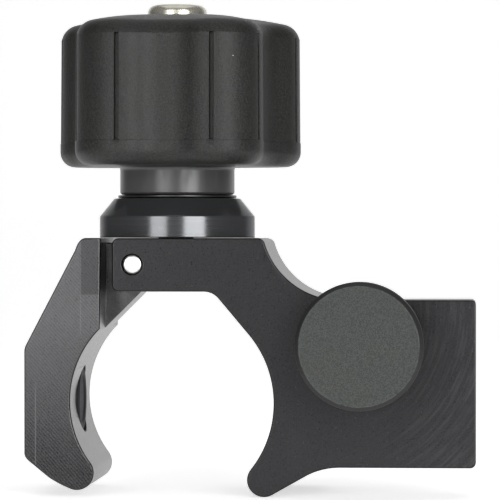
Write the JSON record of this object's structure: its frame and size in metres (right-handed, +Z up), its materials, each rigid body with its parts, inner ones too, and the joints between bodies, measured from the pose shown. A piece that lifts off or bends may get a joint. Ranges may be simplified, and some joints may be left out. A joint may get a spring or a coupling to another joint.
{
  "type": "pole clamp",
  "caption": "Pole clamp with a fixed hook, a pivoting jaw closed by a collar under a lobed screw knob, and a stepped block with a captive thumb screw.",
  "frame": {"origin": "on the axis of the clamped pole, half way between the front and back faces of the body", "axes": "+Z up along the clamping screw, +X towards the accessory block, +Y along the pole to the back, so the front face looks along -Y"},
  "size_m": [0.0708, 0.0478, 0.0779],
  "materials": {
    "anodised_body": "dark anodised, fine machining marks, satin",
    "milled_jaw": "dark anodised over diagonal milling lines, satin",
    "gloss_black_anodised": "gloss black anodised, turned",
    "moulded_black": "fine moulded grain",
    "moulded_grey": "fine moulded grain, matt",
    "steel": "polished stainless",
    "zinc_steel": "zinc plated",
    "brass_insert": "turned brass",
    "grip_rubber": "matt black rubber"
  },
  "bodies": {
    "clamp": {"clamp_body": "anodised_body", "body_thread_insert": "steel", "pivot_pin": "steel", "pin_set_screw": "zinc_steel"},
    "jaw": {"jaw": "milled_jaw", "jaw_grip_plug": "grip_rubber"},
    "collar": {"pressure_collar": "gloss_black_anodised", "thrust_washer": "zinc_steel"},
    "knob": {"lobed_knob": "moulded_black", "knob_insert": "brass_insert", "head_washer": "zinc_steel", "clamp_screw": "steel", "screw_retaining_ring": "zinc_steel"},
    "thumb_slide": {"accessory_washer": "zinc_steel"},
    "thumb_screw": {"accessory_knob": "moulded_grey", "accessory_screw": "steel", "accessory_retaining_ring": "zinc_steel"}
  },
  "joints": [
    {"name": "collar_lift", "type": "slide", "parent": "clamp", "child": "collar", "axis": [0, 0, 1], "range_m": [0, 0.00208]},
    {"name": "knob_turn", "type": "hinge", "parent": "collar", "child": "knob", "pos_m": [0.00045, 0, 0.04], "axis": [0, 0, 1], "range_deg": [0, 590]},
    {"name": "jaw_open", "type": "hinge", "parent": "clamp", "child": "jaw", "pos_m": [-0.0055, 0, 0.0217], "axis": [0, 1, 0], "range_deg": [0, 16]},
    {"name": "thumb_travel", "type": "slide", "parent": "clamp", "child": "thumb_slide", "axis": [0, -1, 0], "range_m": [0, 0.005]},
    {"name": "thumb_turn", "type": "hinge", "parent": "thumb_slide", "child": "thumb_screw", "pos_m": [0.03045, 0, 0.0093], "axis": [0, -1, 0], "continuous": true}
  ],
  "couplings": [
    {"joint": "knob_turn", "follows": "collar_lift", "rad_per_m": 4947.4},
    {"joint": "jaw_open", "follows": "collar_lift", "rad_per_m": 134.17}
  ]
}
